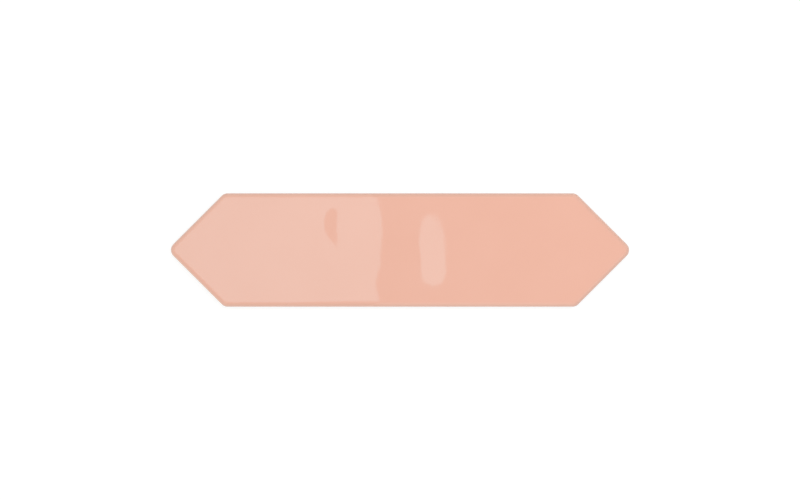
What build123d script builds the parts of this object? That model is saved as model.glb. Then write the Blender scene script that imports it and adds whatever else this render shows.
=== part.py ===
from build123d import *

import os
from collections import namedtuple
from math import ceil, floor, radians, sin, tan, tanh

# Picket tile: a glazed ceramic wall tile in the shape of a fence picket with two points.
# It is pressed, glazed and fired as one piece, so it is one solid.
# The origin is at the middle of the bed face, which is the tile's back.
# +X runs along the tile, +Y across it, and +Z out of the glazed face.
# Lengths are in millimetres and angles in degrees.

# Outline, seen from the glazed face
tile_length = 303.0  # over the two rounded tips
tile_width = 75.0  # across the two long edges
tip_angle = 90.0  # between the two flanks of a pointed end
corner_radius = 5.5  # of all six corners

# Section
tile_thickness = 8.5  # from the bed face to the glazed face
face_edge_radius = 3.0  # rounding from the glazed face into the sides
upright_band = 1.5  # height of the sides' upright stretch, below that rounding
side_draft = 3.0  # lean of the rest of the sides, which frees the tile from its die
bed_bevel = 0.6  # bevel all round the bed face

# Keying channels along the bed face, which the adhesive fills
bed_border = 7.0  # least plain border between the outline and the channels
channel_width = 6.5
rib_width = 4.0  # left standing between two channels
channel_depth = 0.8
channel_draft = 30.0  # lean of the channel walls
channel_end_radius = 1.5  # of the channels' corners, in plan

# Dents in the glazed face, so shallow that they show only in its reflections.
# Along the tile, the face falls about fall_at and rises again about rise_at.
# Each run is half the length that the fall or the rise takes up.
# Across the tile, a dent lies between low and high.
Dent = namedtuple("Dent", "depth fall_at fall_run rise_at rise_run low high")
dent_margin = 9.5  # between the dents and the long edges
dent_side_run = 5.0  # half the width over which a dent dies out across the tile
dent_reach = tile_width / 2 - dent_margin
middle_dent = Dent(
    depth=0.18, fall_at=-2.0, fall_run=10.5, rise_at=22.0, rise_run=8.0, low=-dent_reach, high=dent_reach
)
side_dent = Dent(
    depth=0.235, fall_at=-45.0, fall_run=5.5, rise_at=-29.0, rise_run=8.5, low=3.5, high=dent_reach
)
face_point_pitch = 5.0  # of the points that the glazed face is drawn through


def picket(inset):
    """The outline with sharp corners, moved inwards by inset on every side."""
    half_angle = radians(tip_angle / 2)
    sharp_tip = tile_length / 2 + corner_radius * (1 / sin(half_angle) - 1)
    tip = sharp_tip - inset / sin(half_angle)
    edge = tile_width / 2 - inset
    shoulder = tip - edge / tan(half_angle)
    right_end = [(shoulder, -edge), (tip, 0), (shoulder, edge)]
    left_end = [(-x, -y) for x, y in right_end]
    return Polygon(*right_end, *left_end, align=None)


def blank():
    """The pressed tile before its face, face edge and bed are formed."""
    outline = fillet(picket(inset=0).vertices(), corner_radius)
    part_line = tile_thickness - face_edge_radius - upright_band
    lower = extrude(Pos(0, 0, part_line) * outline, -part_line, taper=side_draft)
    upper = extrude(Pos(0, 0, part_line) * outline, tile_thickness)
    return lower + upper


def smooth_step(distance, run):
    """Rises from 0 to 1 about distance 0, most of it within one run on each side."""
    return (1 + tanh(distance / run)) / 2


def face_height(x, y):
    """Height of the glazed face above the bed face."""
    height = tile_thickness
    for dent in (middle_dent, side_dent):
        fallen = smooth_step(x - dent.fall_at, dent.fall_run)
        risen = smooth_step(x - dent.rise_at, dent.rise_run)
        across = smooth_step(y - dent.low, dent_side_run) * smooth_step(dent.high - y, dent_side_run)
        height -= dent.depth * (fallen - risen) * across
    return height


def evenly(half_length):
    """Values from -half_length to half_length, at most one point pitch apart."""
    count = ceil(2 * half_length / face_point_pitch)
    return [half_length * (2 * i / count - 1) for i in range(count + 1)]


def above_face():
    """What lies above the dented face, over the whole tile and a little round it."""
    overhang = 2 * face_point_pitch
    columns = evenly(tile_length / 2 + overhang)
    rows = evenly(tile_width / 2 + overhang)
    points = [[(x, y, face_height(x, y)) for y in rows] for x in columns]
    face = Face.make_surface_from_array_of_points(points)
    return extrude(face, 2 * tile_thickness, dir=(0, 0, 1))


def keying_channels():
    """The channels that are pressed into the bed face. They end at a plain border along the outline."""
    pitch = channel_width + rib_width
    count = floor((tile_width - 2 * bed_border + rib_width) / pitch)
    field = picket(inset=bed_border)
    channels = []
    for place in GridLocations(0, pitch, 1, count):
        channel = place * Rectangle(tile_length, channel_width) & field
        channel = fillet(channel.vertices(), channel_end_radius)
        channels.append(extrude(channel, channel_depth, dir=(0, 0, 1), taper=channel_draft))
    return channels


def tile():
    """The whole tile."""
    body = blank() - above_face()
    body = fillet(body.faces().sort_by(Axis.Z)[-1].edges(), face_edge_radius)
    body = chamfer(body.faces().sort_by(Axis.Z)[0].edges(), bed_bevel)
    return body - keying_channels()


os.makedirs("parts", exist_ok=True)
export_step(tile(), "parts/tile.step")
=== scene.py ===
import math

import bpy
import numpy as np
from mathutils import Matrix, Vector, noise


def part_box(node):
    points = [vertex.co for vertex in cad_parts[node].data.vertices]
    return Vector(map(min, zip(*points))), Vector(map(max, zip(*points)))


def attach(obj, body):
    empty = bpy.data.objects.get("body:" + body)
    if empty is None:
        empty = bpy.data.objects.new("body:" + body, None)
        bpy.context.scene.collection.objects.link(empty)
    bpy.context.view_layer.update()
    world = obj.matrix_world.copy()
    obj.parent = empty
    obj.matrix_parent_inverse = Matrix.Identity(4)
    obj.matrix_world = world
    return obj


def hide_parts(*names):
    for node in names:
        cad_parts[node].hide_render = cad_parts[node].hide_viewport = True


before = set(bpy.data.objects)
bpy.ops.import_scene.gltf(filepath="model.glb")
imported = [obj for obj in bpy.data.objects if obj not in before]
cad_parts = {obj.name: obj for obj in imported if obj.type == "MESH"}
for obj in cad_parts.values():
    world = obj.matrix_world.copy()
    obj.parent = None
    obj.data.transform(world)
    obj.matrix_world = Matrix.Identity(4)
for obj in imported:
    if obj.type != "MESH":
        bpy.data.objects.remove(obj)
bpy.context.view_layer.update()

MM = 0.001

# Sizes of the tile in millimetres and degrees, with the outline and the thickness from the frame
tile_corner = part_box("tile")[1] / MM
tip = tile_corner.x
half_width = tile_corner.y
thickness = tile_corner.z
corner_radius = 5.5
face_edge_radius = 3.0
upright_band = 1.5
side_draft = 3.0
bed_bevel = 0.6
bed_border = 7.0
channel_width = 6.5
rib_width = 4.0
channel_depth = 0.8
channel_draft = 30.0
channel_end_radius = 1.5

rounding_foot = thickness - face_edge_radius
part_line = rounding_foot - upright_band
side_lean = math.tan(math.radians(side_draft))
channel_pitch = channel_width + rib_width
channel_wall = channel_depth * math.tan(math.radians(channel_draft))

# The hexagon whose points are the centres of the rounded corners. The flanks lie at 45 degrees.
sharp_tip = tip + corner_radius * (math.sqrt(2) - 1)
inner_tip = sharp_tip - corner_radius * math.sqrt(2)
inner_half_width = half_width - corner_radius

# Dents in the glazed face, so shallow that they show only in its reflections.
# Along the tile, they fall and rise between a start and an end, measured from the tile's middle.
# A crease is rounded over about its size, and a run is half the length over which a form dies out.

# The middle dent falls along a line that waves across the tile
middle_depth = 0.18
fall_start = -16.2
fall_end = 12.2
fall_crease = 4.7
fall_wave = 53.0  # length of the wave, across the tile
fall_swing = 1.7  # half the wave's height
fall_ripple = 0.95  # the same for a second wave, half as long
fall_crest_at = 30.2  # where both waves lie furthest to the left

# It rises again in a stretch with a nose, and beside that stretch only towards the tile's end
rise_start = 11.5
rise_start_lean = -0.3  # shift along the tile for each millimetre across it
rise_end = 32.8
rise_end_lean = 0.12
rise_crease = 5.7
rise_low = -22.1
rise_low_run = 5.0
rise_high = 22.1
rise_high_run = 8.0
nose_start = 10.5
nose_radius = 5.6
nose_skew = 0.8  # how much of the narrowing is on the left
least_rise = 2.0  # length of the rise at the nose's tip
slow_rise_at = 100.0
slow_rise_run = 45.0

# The side dent falls along an arc and rises gently
side_depth = 0.235
arc_start = -52.4
arc_end = -38.0
arc_middle = 17.1
arc_radius = 16.0
arc_crease = 2.4
least_fall = 2.0  # length of the fall where the arc ends
side_rise_start = -40.0
side_rise_end = -18.0
side_rise_crease = 6.0
side_low = 3.4
side_low_run = 8.0
side_high = 28.8
side_high_run = 4.5

# The face droops along the front long edge
droop_depth = 0.07
droop_at = -34.5
droop_run = 2.8
droop_start = -52.0
droop_start_run = 20.0

# Glaze on the sides: it ends in a low lip above the bare body, along a line that wanders up and down
glaze_line = 2.6
glaze_line_wander = 0.5
glaze_line_wave = 17.0
glaze_lip = 0.2
edge_thinning = 0.5  # share of the glaze that has run off halfway round the face edge

# Rings of the lip: how far inside the side and how far above the glaze line each one lies,
# and how thick the glaze is there, from 0 to 1
lip_rings = [(0.0, 1.2, 0.9), (0.0, 0.3, 0.7), (0.02, 0.1, 0.6), (0.08, 0.01, 0.5), (glaze_lip, 0.03, 0.4)]

# Fineness of the mesh
face_pitch = 0.75
face_margin_steps = 4
corner_steps = 8
rounding_steps = 14
rounding_crowding = 1.3  # above 1, the rounding's rings crowd towards the face
bevel_hold = 0.06  # from a sharp edge of the body to the rings that keep it crisp
bed_ring_inset = 4.0
channel_hold = 0.15  # from a channel's edges to the rows that keep them crisp
channel_wall_steps = 3

# Columns of the bed's mesh, as distances along X from the flanks of the inner hexagon
bed_margin_columns = np.linspace(0, 1.5, 3)
channel_end_columns = np.linspace(1.7, 9.0, 19)
bed_middle_steps = 16

GLAZE, BODY = 0, 1


def smooth_step(distance, run):
    """Rises from 0 to 1 about distance 0, most of it within one run on each side."""
    return (1 + np.tanh(distance / run)) / 2


def ramp(x, start, end, crease):
    """Rises evenly from 0 at start to 1 at end, with each crease rounded over about its size."""
    rounding = crease / 2
    lift = np.logaddexp(0, (x - start) / rounding) - np.logaddexp(0, (x - end) / rounding)
    return rounding * lift / (end - start)


def between(y, low, low_run, high, high_run):
    """1 between low and high, and 0 outside them."""
    return smooth_step(y - low, low_run) * smooth_step(high - y, high_run)


def middle_dent(x, y):
    """Depth of the dent across the middle of the face."""
    turn = 2 * math.pi / fall_wave * (y - fall_crest_at)
    wave = fall_swing * np.cos(turn) + fall_ripple * np.cos(2 * turn)
    fallen = ramp(x + wave, fall_start, fall_end, fall_crease)
    start = rise_start + rise_start_lean * y
    end = rise_end + rise_end_lean * y
    along_nose = np.maximum(y - nose_start, 0)
    pinch = np.minimum(along_nose**2 / (2 * nose_radius), end - start - least_rise)
    quick_rise = ramp(x, start + nose_skew * pinch, end - (1 - nose_skew) * pinch, rise_crease)
    slow_rise = smooth_step(x - slow_rise_at, slow_rise_run)
    quick_share = between(y, rise_low, rise_low_run, rise_high, rise_high_run)
    return middle_depth * (fallen - quick_share * quick_rise - (1 - quick_share) * slow_rise)


def side_dent(x, y):
    """Depth of the small dent beside it."""
    arc = np.minimum(arc_start + (y - arc_middle) ** 2 / (2 * arc_radius), arc_end - least_fall)
    fallen = ramp(x, arc, arc_end, arc_crease)
    risen = ramp(x, side_rise_start, side_rise_end, side_rise_crease)
    return side_depth * (fallen - risen) * between(y, side_low, side_low_run, side_high, side_high_run)


def edge_droop(x, y):
    """How far the face droops along the front long edge."""
    return droop_depth * smooth_step(droop_at - y, droop_run) * smooth_step(x - droop_start, droop_start_run)


def dent_depth(x, y):
    """How far the glazed face lies below its full height."""
    return middle_dent(x, y) + side_dent(x, y) + edge_droop(x, y)


class Skin:
    """The points and faces of one closed mesh, in millimetres."""

    def __init__(self):
        self.points = []
        self.cover = []
        self.faces = []
        self.materials = []

    def add_points(self, x, y, z, cover):
        """Adds points and returns their numbers. cover is how thick the glaze is there, from 0 to 1."""
        first = len(self.points)
        x, y, z, cover = np.broadcast_arrays(x, y, z, cover)
        self.points.extend(zip(x.flat, y.flat, z.flat))
        self.cover.extend(cover.flat)
        return np.arange(first, len(self.points)).reshape(x.shape)

    def plan(self, numbers):
        """The x and the y of some points."""
        return np.array([self.points[number][:2] for number in numbers]).T

    def add_faces(self, faces, material):
        """Adds faces, each given by the numbers of its points."""
        self.faces.extend([int(point) for point in face] for face in faces)
        self.materials.extend([material] * len(faces))

    def add_grid(self, numbers, material, faces_up):
        """Adds the quads of a grid of points, which faces up or down."""
        corners = [numbers[:-1, :-1], numbers[:-1, 1:], numbers[1:, 1:], numbers[1:, :-1]]
        if not faces_up:
            corners.reverse()
        self.add_faces(np.stack([corner.ravel() for corner in corners], axis=1), material)

    def add_band(self, inner, outer, material):
        """Adds the faces between two rings with the same stations: triangles where an inner point repeats."""
        for k in range(len(inner)):
            following = (k + 1) % len(inner)
            face = [inner[k], outer[k], outer[following], inner[following]]
            if inner[k] == inner[following]:
                face.pop()
            self.add_faces([face], material)


class Rim:
    """Rings of points round the tile, which go out from the border of the face's grid and down the sides."""

    def __init__(self, skin, sides):
        self.skin = skin
        self.newest, self.angles = stations_round(sides)
        self.x, self.y = skin.plan(self.newest)

    def add_ring(self, inset, height, cover, material):
        """Adds a ring inside the outline and joins it to the one before.
        Above the foot of the face edge's rounding it follows the dents."""
        reach = corner_radius - inset
        x = self.x + reach * np.cos(self.angles)
        y = self.y + reach * np.sin(self.angles)
        lowered = dent_depth(x, y) * (height > rounding_foot)
        ring = self.skin.add_points(x, y, height - lowered, cover)
        self.skin.add_band(self.newest, ring, material)
        self.newest = ring


def hexagon_grid(rows, end_steps, middle_steps):
    """Points that fill the inner hexagon, as x and y arrays with one line per row.
    end_steps are distances from the flanks, along X."""
    flank = (inner_tip - np.abs(rows))[:, None]
    right = flank - end_steps[None, :]
    middle = right[:, -1:] * np.linspace(-1, 1, middle_steps + 1)[None, 1:-1]
    x = np.hstack([-right, middle, right[:, ::-1]])
    y = np.broadcast_to(rows[:, None], x.shape)
    return x, y


def sides_of(numbers):
    """The six sides of a hexagon grid, anticlockwise from the left end of the front side."""
    middle = len(numbers) // 2
    return [
        numbers[0, :],
        numbers[: middle + 1, -1],
        numbers[middle:, -1],
        numbers[-1, ::-1],
        numbers[middle:, 0][::-1],
        numbers[: middle + 1, 0][::-1],
    ]


def side_angles():
    """The direction that each of the six sides faces."""
    return [math.radians(degrees) for degrees in (-90, -45, 45, 90, 135, 225)]


def stations_round(sides):
    """The points of a hexagon grid's border and the directions that the outline lies in from them.
    At the hexagon's corners a point repeats while the direction turns."""
    numbers, angles = [], []
    facing = side_angles()
    for side, angle, next_angle in zip(sides, facing, facing[1:] + [facing[0] + 2 * math.pi]):
        numbers.extend(side)
        angles.extend([angle] * len(side))
        turns = np.linspace(angle, next_angle, corner_steps + 1)[1:-1]
        numbers.extend([side[-1]] * len(turns))
        angles.extend(turns)
    return np.array(numbers), np.array(angles)


def places_round(x, y):
    """The distance of each border point along the hexagon's border from the first."""
    steps = np.hypot(np.diff(x), np.diff(y))
    return np.concatenate([[0], np.cumsum(steps)])


def zip_rings(skin, outer, outer_places, inner, inner_places, material):
    """Adds triangles that face down between two rings with different stations."""
    once_round = max(outer_places[-1], inner_places[-1]) + 1
    outer, inner = [*outer, outer[0]], [*inner, inner[0]]
    outer_places = [*outer_places, once_round, math.inf]
    inner_places = [*inner_places, once_round, math.inf]
    i = j = 0
    while i < len(outer) - 1 or j < len(inner) - 1:
        if outer_places[i + 1] <= inner_places[j + 1]:
            skin.add_faces([[outer[i + 1], outer[i], inner[j]]], material)
            i += 1
        else:
            skin.add_faces([[outer[i], inner[j], inner[j + 1]]], material)
            j += 1


def add_face(skin):
    """Adds the dented face inside the inner hexagon and returns its grid."""
    row_steps = 2 * round(inner_half_width / face_pitch)
    rows = np.linspace(-inner_half_width, inner_half_width, row_steps + 1)
    column_steps = 2 * round(inner_tip / face_pitch)
    x, y = hexagon_grid(rows, np.array([0.0]), column_steps)
    face = skin.add_points(x, y, thickness - dent_depth(x, y), 1)
    skin.add_grid(face, GLAZE, faces_up=True)
    return face


def add_face_edge(rim):
    """Adds the flat margin of the face and the rounding from it into the sides."""
    for inset in np.linspace(corner_radius, face_edge_radius, face_margin_steps + 1)[1:]:
        rim.add_ring(inset, thickness, 1, GLAZE)
    for turn in (np.arange(rounding_steps) + 1) / rounding_steps:
        angle = math.pi / 2 * turn**rounding_crowding
        inset = face_edge_radius * (1 - math.sin(angle))
        height = thickness - face_edge_radius * (1 - math.cos(angle))
        rim.add_ring(inset, height, 1 - edge_thinning * math.sin(2 * angle), GLAZE)


def side_inset(height):
    """How far the drafted sides lie inside the outline."""
    return side_lean * np.maximum(part_line - height, 0)


def glaze_line_heights(x, y):
    """Heights of the line where the glaze ends, at points round the tile."""
    between_layers = 0.5  # because the noise is 0 at whole numbers
    wander = []
    for point_x, point_y in zip(x, y):
        place = Vector((point_x / glaze_line_wave, point_y / glaze_line_wave, between_layers))
        wander.append(noise.noise(place))
    return glaze_line + glaze_line_wander * np.array(wander)


def add_sides(rim):
    """Adds the glaze on the sides down to its lip, the bare body below it and the bevel round the bed."""
    line = glaze_line_heights(rim.x, rim.y)
    for inset, above_line, cover in lip_rings:
        height = line + above_line
        rim.add_ring(side_inset(height) + inset, height, cover, GLAZE)
    halfway = 0.5 * (line + bed_bevel)
    for height in (line - bevel_hold, halfway, bed_bevel + bevel_hold, bed_bevel - bevel_hold):
        bevelled = np.maximum(bed_bevel - height, 0)
        rim.add_ring(side_inset(height) + glaze_lip + bevelled, height, 0, BODY)
    foot = side_inset(0) + glaze_lip + bed_bevel
    for inset, height in ((foot - bevel_hold, bevel_hold), (foot + bevel_hold, 0), (bed_ring_inset, 0)):
        rim.add_ring(inset, height, 0, BODY)


def channel_height(x, y):
    """Height of the bed, which is 0 on the ribs and the border."""
    from_middle = np.abs(np.mod(y, channel_pitch) - channel_pitch / 2)
    from_side = channel_width / 2 - from_middle
    from_flank = (sharp_tip - np.abs(x) - np.abs(y)) / math.sqrt(2) - bed_border
    from_edge = half_width - bed_border - np.abs(y)
    blend = np.maximum(channel_end_radius - np.abs(from_side - from_flank), 0)
    inside = np.minimum(from_side, from_flank) - blend**2 / (4 * channel_end_radius)
    inside = np.where(from_edge > 0, inside, -1)
    share = np.clip(inside / channel_wall, 0, 1)
    return channel_depth * share * share * (3 - 2 * share)


def bed_rows():
    """Rows along the bed that follow the channels' walls and hold their edges."""
    edge = channel_width / 2
    wall = edge - channel_wall * np.linspace(0, 1, channel_wall_steps + 1)
    half = np.concatenate([[edge + channel_hold], wall, [wall[-1] - channel_hold, wall[-1] / 2]])
    across = np.concatenate([half, [0], -half])
    count = int((2 * (half_width - bed_border) + rib_width) // channel_pitch)
    middles = channel_pitch * (np.arange(count) - (count - 1) / 2)
    rows = (middles[:, None] + across[None, :]).ravel()
    ends = np.array([-inner_half_width, 0, inner_half_width])
    return np.unique(np.round(np.concatenate([rows, ends]), 6))


def add_bed(rim):
    """Adds the bed with its channels, inside the last ring of the sides."""
    skin = rim.skin
    end_steps = np.concatenate([bed_margin_columns, channel_end_columns])
    x, y = hexagon_grid(bed_rows(), end_steps, bed_middle_steps)
    bed = skin.add_points(x, y, channel_height(x, y), 0)
    skin.add_grid(bed, BODY, faces_up=False)
    border = np.concatenate([side[:-1] for side in sides_of(bed)])
    outer_places = places_round(rim.x, rim.y)
    inner_places = places_round(*skin.plan(border))
    zip_rings(skin, rim.newest, outer_places, border, inner_places, BODY)


def tile_skin():
    """The whole surface of the tile."""
    skin = Skin()
    rim = Rim(skin, sides_of(add_face(skin)))
    add_face_edge(rim)
    add_sides(rim)
    add_bed(rim)
    return skin


def make_tile(materials):
    """The tile as a Blender object."""
    skin = tile_skin()
    mesh = bpy.data.meshes.new("glazed_tile")
    mesh.from_pydata((np.array(skin.points) * MM).tolist(), [], skin.faces)
    for material in materials:
        mesh.materials.append(material)
    mesh.polygons.foreach_set("material_index", skin.materials)
    mesh.polygons.foreach_set("use_smooth", [True] * len(mesh.polygons))
    cover = mesh.attributes.new("glaze_cover", "FLOAT", "POINT")
    cover.data.foreach_set("value", np.array(skin.cover, np.float32))
    mesh.update()
    tile = bpy.data.objects.new("glazed_tile", mesh)
    bpy.context.scene.collection.objects.link(tile)
    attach(tile, "root")
    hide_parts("tile")


def new_material(name):
    """A material with its node tree and its Principled shader."""
    material = bpy.data.materials.new(name)
    material.use_nodes = True
    return material, material.node_tree, material.node_tree.nodes["Principled BSDF"]


def add_node(tree, kind, inputs=None, **properties):
    """Adds a node with these properties. Each input is given by name or number and is a link or a value."""
    node = tree.nodes.new(kind)
    for name, value in properties.items():
        setattr(node, name, value)
    for name, source in (inputs or {}).items():
        if isinstance(source, bpy.types.NodeSocket):
            tree.links.new(source, node.inputs[name])
        else:
            node.inputs[name].default_value = source
    return node


def add_noise(tree, place, wavelength, detail):
    """Noise between 0 and 1 with features of about that size."""
    inputs = {"Vector": place, "Scale": 1 / wavelength, "Detail": detail}
    return add_node(tree, "ShaderNodeTexNoise", inputs).outputs["Fac"]


def add_range(tree, value, before, after):
    """A value carried from one range to another, held at the ends."""
    inputs = {"Value": value}
    inputs["From Min"], inputs["From Max"] = before
    inputs["To Min"], inputs["To Max"] = after
    return add_node(tree, "ShaderNodeMapRange", inputs).outputs["Result"]


def add_maths(tree, operation, first, second=0):
    """One operation on one or two values."""
    return add_node(tree, "ShaderNodeMath", {0: first, 1: second}, operation=operation).outputs[0]


def add_mix(tree, share, first, second):
    """A colour between two colours. The node's inputs share their names, so they are picked by number."""
    return add_node(tree, "ShaderNodeMix", {0: share, 6: first, 7: second}, data_type="RGBA").outputs[2]


def add_spots(tree, place, spacing, radius, chance):
    """1 in small round spots and 0 between them. chance is the share of the spots that are kept."""
    cells = add_node(tree, "ShaderNodeTexVoronoi", {"Vector": place, "Scale": 1 / spacing})
    size = radius / spacing
    near = add_range(tree, cells.outputs["Distance"], (0.5 * size, 1.5 * size), (1, 0))
    kept = add_maths(tree, "LESS_THAN", cells.outputs["Color"], chance)
    return add_maths(tree, "MULTIPLY", near, kept)


def add_bump(tree, height, depth, normal=None):
    """The normal of a surface that a height between 0 and 1 lifts by up to depth."""
    inputs = {"Height": height, "Distance": depth, "Strength": 1.0}
    if normal:
        inputs["Normal"] = normal
    return add_node(tree, "ShaderNodeBump", inputs).outputs["Normal"]


def glaze_material():
    """Glossy pink glaze: faintly clouded, paler where it is thin, with soft ripples and a few pinholes."""
    deep_pink = (0.860, 0.452, 0.337, 1)
    light_pink = (0.870, 0.463, 0.348, 1)
    thin_pink = (0.88, 0.66, 0.55, 1)
    pinhole_brown = (0.50, 0.23, 0.16, 1)
    most_thin_pink = 0.35
    most_pinhole_brown = 0.35
    roughness = (0.022, 0.027)
    ripple_depth = 0.000003
    pinhole_depth = 0.00005
    material, tree, shader = new_material("pink_glaze")
    place = add_node(tree, "ShaderNodeTexCoord").outputs["Object"]
    cover = add_node(tree, "ShaderNodeAttribute", attribute_name="glaze_cover").outputs["Fac"]
    cloud = add_noise(tree, place, wavelength=0.035, detail=3)
    colour = add_mix(tree, add_range(tree, cloud, (0.3, 0.7), (0, 1)), deep_pink, light_pink)
    thinness = add_range(tree, cover, (0.3, 1), (most_thin_pink, 0))
    colour = add_mix(tree, thinness, colour, thin_pink)
    pinholes = add_spots(tree, place, spacing=0.004, radius=0.00025, chance=0.1)
    colour = add_mix(tree, add_maths(tree, "MULTIPLY", pinholes, most_pinhole_brown), colour, pinhole_brown)
    tree.links.new(colour, shader.inputs["Base Color"])
    sheen = add_noise(tree, place, wavelength=0.02, detail=2)
    tree.links.new(add_range(tree, sheen, (0.3, 0.7), roughness), shader.inputs["Roughness"])
    ripples = add_bump(tree, add_noise(tree, place, wavelength=0.006, detail=1), ripple_depth)
    pits = add_bump(tree, add_maths(tree, "SUBTRACT", 1, pinholes), pinhole_depth, ripples)
    tree.links.new(pits, shader.inputs["Normal"])
    shader.inputs["IOR"].default_value = 1.5
    return material


def body_material():
    """Bare fired body: off-white, matt and grainy, with dark specks and a chalky wash on the ribs."""
    dark_body = (0.66, 0.55, 0.43, 1)
    light_body = (0.77, 0.69, 0.58, 1)
    chalk_white = (0.86, 0.82, 0.75, 1)
    grain_brown = (0.44, 0.34, 0.25, 1)
    speck_brown = (0.28, 0.17, 0.10, 1)
    chalk_shares = (0.1, 0.75)
    most_grain_brown = 0.45
    most_speck_brown = 0.7
    chalk_ends = (0.00005, 0.0002)  # heights above the bed
    grain_depth = 0.00008
    material, tree, shader = new_material("bare_body")
    place = add_node(tree, "ShaderNodeTexCoord").outputs["Object"]
    cloud = add_noise(tree, place, wavelength=0.02, detail=4)
    colour = add_mix(tree, add_range(tree, cloud, (0.3, 0.7), (0, 1)), dark_body, light_body)
    height = add_node(tree, "ShaderNodeSeparateXYZ", {0: place}).outputs["Z"]
    low = add_range(tree, height, chalk_ends, (1, 0))
    patches = add_range(tree, add_noise(tree, place, wavelength=0.006, detail=5), (0.42, 0.62), chalk_shares)
    colour = add_mix(tree, add_maths(tree, "MULTIPLY", low, patches), colour, chalk_white)
    grain = add_noise(tree, place, wavelength=0.0007, detail=3)
    colour = add_mix(tree, add_range(tree, grain, (0.60, 0.75), (0, most_grain_brown)), colour, grain_brown)
    specks = add_spots(tree, place, spacing=0.003, radius=0.0003, chance=0.5)
    colour = add_mix(tree, add_maths(tree, "MULTIPLY", specks, most_speck_brown), colour, speck_brown)
    tree.links.new(colour, shader.inputs["Base Color"])
    shader.inputs["Roughness"].default_value = 0.9
    tree.links.new(add_bump(tree, grain, grain_depth), shader.inputs["Normal"])
    return material


def white_to_look_at(tree):
    """1 for rays from the camera and for mirrored and refracted rays, and 0 for others."""
    path = add_node(tree, "ShaderNodeLightPath").outputs
    seen = add_maths(tree, "MAXIMUM", path["Is Camera Ray"], path["Is Glossy Ray"])
    return add_maths(tree, "MAXIMUM", seen, path["Is Transmission Ray"])


def make_world(light_level, horizon_level, strip_angle, strip_level):
    """Even white light from all round, which looks plain white. The glaze mirrors it as a ring of upright
    strips that each fade to one side, with plain white overhead and less light near the horizon."""
    full_level_at = 0.8  # upward part of a direction of length 1
    strip_tops = (0.90, 0.95)  # the same
    world = bpy.data.worlds.new("studio")
    world.use_nodes = True
    tree = world.node_tree
    strength = add_range(tree, white_to_look_at(tree), (0, 1), (light_level, 1))
    direction = add_node(tree, "ShaderNodeTexCoord").outputs["Generated"]
    towards = add_node(tree, "ShaderNodeSeparateXYZ", {0: direction}).outputs
    bearing = add_maths(tree, "ARCTAN2", towards["Y"], towards["X"])
    strips = add_maths(tree, "DIVIDE", bearing, math.radians(strip_angle))
    across_strip = add_maths(tree, "FRACT", strips)
    fading = add_range(tree, across_strip, (0, 1), (0, 1 - strip_level))
    below_top = add_range(tree, towards["Z"], strip_tops, (1, 0))
    kept = add_maths(tree, "SUBTRACT", 1, add_maths(tree, "MULTIPLY", fading, below_top))
    level = add_range(tree, towards["Z"], (0, full_level_at), (horizon_level, 1))
    missing = add_maths(tree, "SUBTRACT", 1, add_maths(tree, "MULTIPLY", kept, level))
    glossy = add_node(tree, "ShaderNodeLightPath").outputs["Is Glossy Ray"]
    dimming = add_maths(tree, "MULTIPLY", missing, glossy)
    background = tree.nodes["Background"]
    background.inputs["Color"].default_value = (1, 1, 1, 1)
    tree.links.new(add_maths(tree, "SUBTRACT", strength, dimming), background.inputs["Strength"])
    bpy.context.scene.world = world


def floor_material(reflectance, glow):
    """Matt white that takes shadows and also glows for those who look at it."""
    material, tree, shader = new_material("white_floor")
    tree.nodes.remove(shader)
    diffuse = add_node(tree, "ShaderNodeBsdfDiffuse", {"Color": (reflectance, reflectance, reflectance, 1)})
    strength = add_range(tree, white_to_look_at(tree), (0, 1), (0, glow))
    emission = add_node(tree, "ShaderNodeEmission", {"Color": (1, 1, 1, 1), "Strength": strength})
    both = add_node(tree, "ShaderNodeAddShader", {0: diffuse.outputs[0], 1: emission.outputs[0]})
    tree.links.new(both.outputs[0], tree.nodes["Material Output"].inputs["Surface"])
    return material


def make_floor(material, half_size, gap):
    """A square floor, just below the tile so that the two don't share a plane."""
    ends = (-half_size, half_size)
    corners = [(x, y, -gap) for y in ends for x in ends]
    mesh = bpy.data.meshes.new("floor")
    mesh.from_pydata(corners, [], [(0, 1, 3, 2)])
    mesh.materials.append(material)
    floor = bpy.data.objects.new("floor", mesh)
    bpy.context.scene.collection.objects.link(floor)


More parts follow.
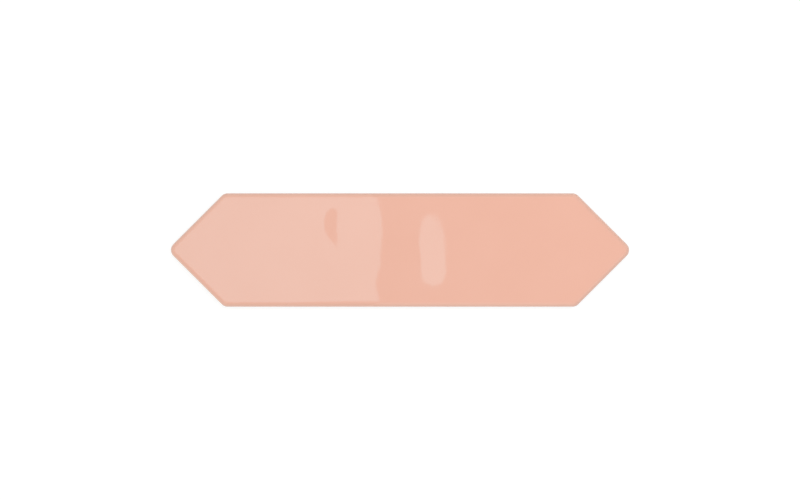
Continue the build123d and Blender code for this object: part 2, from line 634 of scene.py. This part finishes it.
def add_lamp(name, kind, power, mirrored):
    """A lamp that shines straight down. One that isn't mirrored leaves no image in the glaze."""
    light = bpy.data.lights.new(name, kind)
    light.energy = power
    lamp = bpy.data.objects.new(name, light)
    lamp.visible_glossy = mirrored
    bpy.context.scene.collection.objects.link(lamp)
    return lamp


def make_panel(right, front, height, size, colour, power):
    """The panel light overhead whose image in the dented face is its pale field and pale oblong."""
    length, width = size
    panel = add_lamp("panel", "AREA", power, mirrored=True)
    panel.data.shape = "RECTANGLE"
    panel.data.size = length
    panel.data.size_y = width
    panel.data.color = colour
    panel.location = (right - length / 2, front + width / 2, height)


def make_key(place, size, power):
    """A soft light from the back right."""
    key = add_lamp("key", "AREA", power, mirrored=False)
    key.data.size = size
    key.location = place


def make_fill(bearing, elevation, spread, power):
    """A weak, low light from the front left. Its bearing is measured from +X, anticlockwise."""
    fill = add_lamp("fill", "SUN", power, mirrored=False)
    fill.data.angle = math.radians(spread)
    fill.rotation_euler = (math.radians(90 - elevation), 0, math.radians(bearing + 90))


def make_camera(height, picture_width):
    """A camera that looks straight down. picture_width is what the picture takes in at the tile's face."""
    camera = bpy.data.cameras.new("camera")
    camera.sensor_width = 36.0
    camera.lens = camera.sensor_width * height / picture_width
    camera.clip_end = 100.0
    view = bpy.data.objects.new("camera", camera)
    view.location = (0, 0, height + thickness * MM)
    bpy.context.scene.collection.objects.link(view)
    bpy.context.scene.camera = view


picture_pixels = 800
tile_pixels = 458.6  # length of the tile in the picture
picture_width = picture_pixels / tile_pixels * 2 * tip * MM

make_tile([glaze_material(), body_material()])
make_floor(floor_material(reflectance=0.4, glow=0.7), half_size=12.0, gap=0.0001)
make_world(light_level=0.808, horizon_level=0.4, strip_angle=15, strip_level=0.2)
make_panel(right=0.012, front=-0.205, height=5.0, size=(1.6, 1.2), colour=(0.32, 0.885, 1.0), power=11.3)
make_key(place=(0.3, 0.25, 0.75), size=0.3, power=1.25)
make_fill(bearing=214, elevation=8, spread=30, power=0.5)
make_camera(height=3.5, picture_width=picture_width)

bpy.context.scene.view_settings.view_transform = "Standard"
